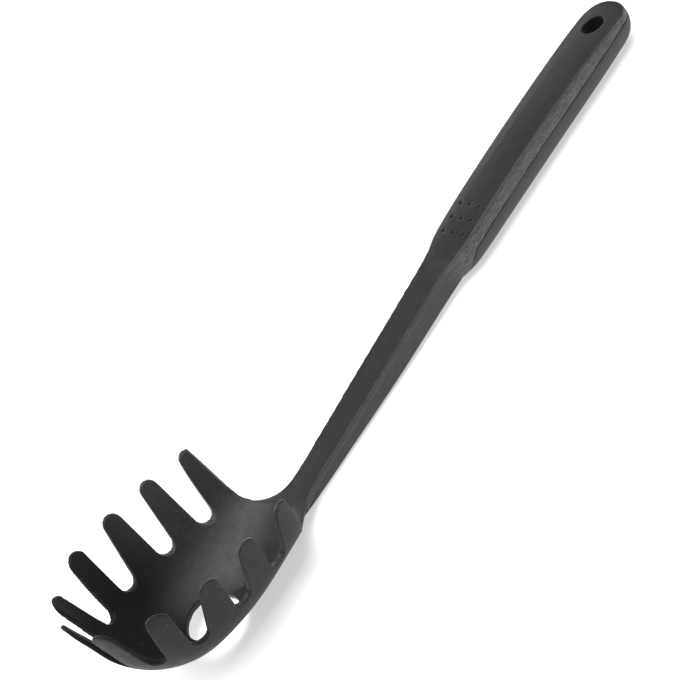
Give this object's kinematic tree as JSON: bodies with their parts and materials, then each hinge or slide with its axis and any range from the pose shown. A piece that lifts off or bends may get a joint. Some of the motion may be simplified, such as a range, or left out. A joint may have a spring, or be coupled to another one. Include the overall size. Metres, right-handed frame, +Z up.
{
  "type": "pasta server",
  "caption": "Slotted pasta spoon: a deep bowl with tall round-ended tines and a drain hole, on a slim stem that widens into a hollow grip with thumb dimples and a hang hole.",
  "frame": {"origin": "bottom centre of the bounding box, on the table that the server lies on", "axes": "+X along the server towards the hang-hole end of the grip, +Z up out of the bowl's open side and along the hang hole, +Y to the left looking from bowl to grip"},
  "size_m": [0.3132, 0.0724, 0.0561],
  "materials": {
    "body_nylon": "satin moulded nylon, smooth on the top face, finely grained on the sides",
    "back_shell_nylon": "satin moulded nylon with a fine grain"
  },
  "bodies": {
    "root": {"server_body": "body_nylon", "grip_back_shell": "back_shell_nylon"}
  },
  "joints": []
}
